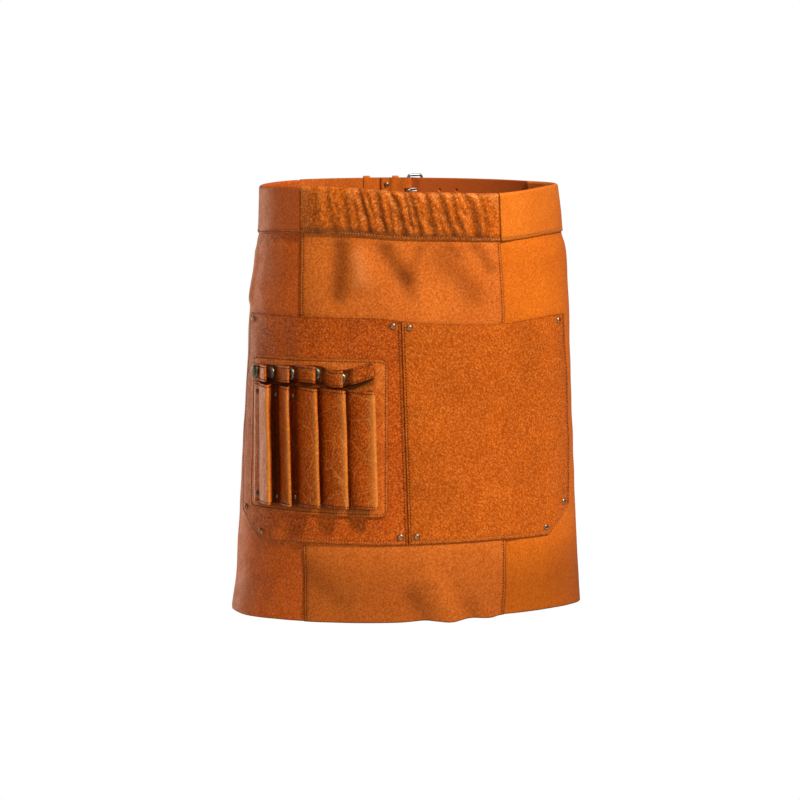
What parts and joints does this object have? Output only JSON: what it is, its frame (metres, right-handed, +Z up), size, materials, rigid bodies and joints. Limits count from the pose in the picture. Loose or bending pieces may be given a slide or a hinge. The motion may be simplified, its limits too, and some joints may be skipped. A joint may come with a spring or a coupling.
{
  "type": "short apron",
  "caption": "Waist apron of tan leather in its worn form, with wide patch pockets, a riveted holder of upright tool tubes, a gathered waistband and a strap buckled behind.",
  "frame": {"origin": "middle of the ring that the waistband makes, at half the band's height", "axes": "+Z up along the body, front of the apron faces -Y, +X to the right of the picture"},
  "size_m": [0.398, 0.2575, 0.4907],
  "materials": {
    "front": "tan-orange full-grain leather, fine grain, satin",
    "side_left": "reddish brown full-grain leather, mottled, satin",
    "side_right": "light orange full-grain leather, smooth, satin",
    "band": "tan-orange grained leather, folded and gathered, satin",
    "strap": "brown strap leather, smooth outside and matt inside",
    "pocket": "tan leather with a pebbled grain, satin",
    "holder": "tan leather, waxed, with worn bright folds",
    "rivet": "antique, dull",
    "stud": "antique, dull",
    "buckle": "bright nickel plate"
  },
  "bodies": {
    "root": {"front_panel": "front", "side_panel_left": "side_left", "side_panel_right": "side_right", "waistband_front": "band", "waistband_left": "band", "waistband_right": "band", "pocket_left": "pocket", "pocket_right": "pocket", "tool_plate": "holder", "tool_pleats": "holder", "tool_strap": "holder", "back_strap_left": "strap", "back_strap_right": "strap", "keeper_1": "strap", "keeper_2": "strap", "buckle_frame": "buckle", "buckle_prong": "buckle", "strap_rivet_upper": "rivet", "strap_rivet_lower": "rivet", "rivet_left_top_outer": "rivet", "rivet_left_top_inner": "rivet", "rivet_left_corner_high": "rivet", "rivet_left_corner_low": "rivet", "rivet_left_bottom_inner": "rivet", "rivet_right_top_outer": "rivet", "rivet_right_top_inner": "rivet", "rivet_right_corner_high": "rivet", "rivet_right_corner_low": "rivet", "rivet_right_bottom_inner": "rivet", "pleat_rivet_high_1": "rivet", "pleat_rivet_low_1": "rivet", "press_stud_1": "stud", "pleat_rivet_high_2": "rivet", "pleat_rivet_low_2": "rivet", "press_stud_2": "stud", "pleat_rivet_high_3": "rivet", "pleat_rivet_low_3": "rivet", "press_stud_3": "stud", "pleat_rivet_high_4": "rivet", "pleat_rivet_low_4": "rivet", "press_stud_4": "stud", "pleat_rivet_high_5": "rivet", "pleat_rivet_low_5": "rivet", "press_stud_5": "stud"}
  },
  "joints": []
}
